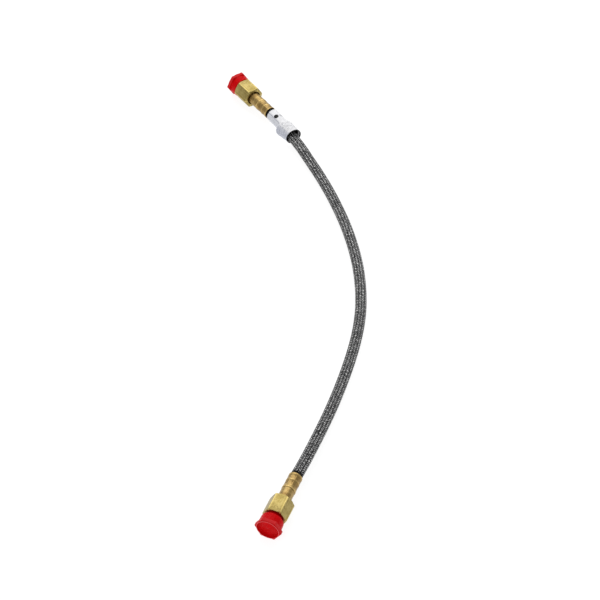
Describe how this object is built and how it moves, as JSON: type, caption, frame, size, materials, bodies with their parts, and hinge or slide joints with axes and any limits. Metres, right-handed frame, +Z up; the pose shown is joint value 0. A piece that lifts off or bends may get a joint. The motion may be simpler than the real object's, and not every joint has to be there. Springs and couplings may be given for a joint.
{
  "type": "gas pigtail hose",
  "caption": "Flexible gas hose with a stainless steel overbraid, a brass flare fitting with a swivel nut and a red shipping plug at each end, and a marker sleeve.",
  "frame": {"origin": "middle of the box round the two end fittings, on the surface that the hose lies on", "axes": "+Y from the near fitting to the far fitting, +X towards the outside of the arc, +Z up"},
  "size_m": [0.116, 0.5815, 0.0215],
  "materials": {
    "steel_braid": "woven stainless wire, dull grey",
    "yarn": "braided polyester yarn",
    "black_rubber": "smooth",
    "white_sleeve": "satin",
    "black_edge": "matte",
    "turned_brass": "turned, crimp marks",
    "nut_brass": "drawn hexagon bar, satin",
    "red_plug": "moulded polyethylene, satin"
  },
  "bodies": {
    "hose": {"steel_braid": "steel_braid", "yarn_layer": "yarn", "inner_tube": "black_rubber", "marker_sleeve": "white_sleeve", "marker_sleeve_edge": "black_edge", "near_insert": "turned_brass", "near_ferrule": "turned_brass", "far_insert": "turned_brass", "far_ferrule": "turned_brass"},
    "near_nut": {"near_swivel_nut": "nut_brass"},
    "far_nut": {"far_swivel_nut": "nut_brass"},
    "near_plug": {"near_shipping_plug": "red_plug"},
    "far_plug": {"far_shipping_plug": "red_plug"}
  },
  "joints": [
    {"name": "near_nut_swivel", "type": "hinge", "parent": "hose", "child": "near_nut", "pos_m": [-0.00297, -0.26524, 0.0108], "axis": [-0.4384, -0.8988, 0], "continuous": true},
    {"name": "near_plug_pull", "type": "slide", "parent": "near_nut", "child": "near_plug", "axis": [-0.4384, -0.8988, 0], "range_m": [0, 0.02]},
    {"name": "far_nut_swivel", "type": "hinge", "parent": "hose", "child": "far_nut", "pos_m": [-0.00113, 0.26726, 0.0105], "axis": [-0.5299, 0.848, 0], "continuous": true},
    {"name": "far_plug_pull", "type": "slide", "parent": "far_nut", "child": "far_plug", "axis": [-0.5299, 0.848, 0], "range_m": [0, 0.02]}
  ]
}
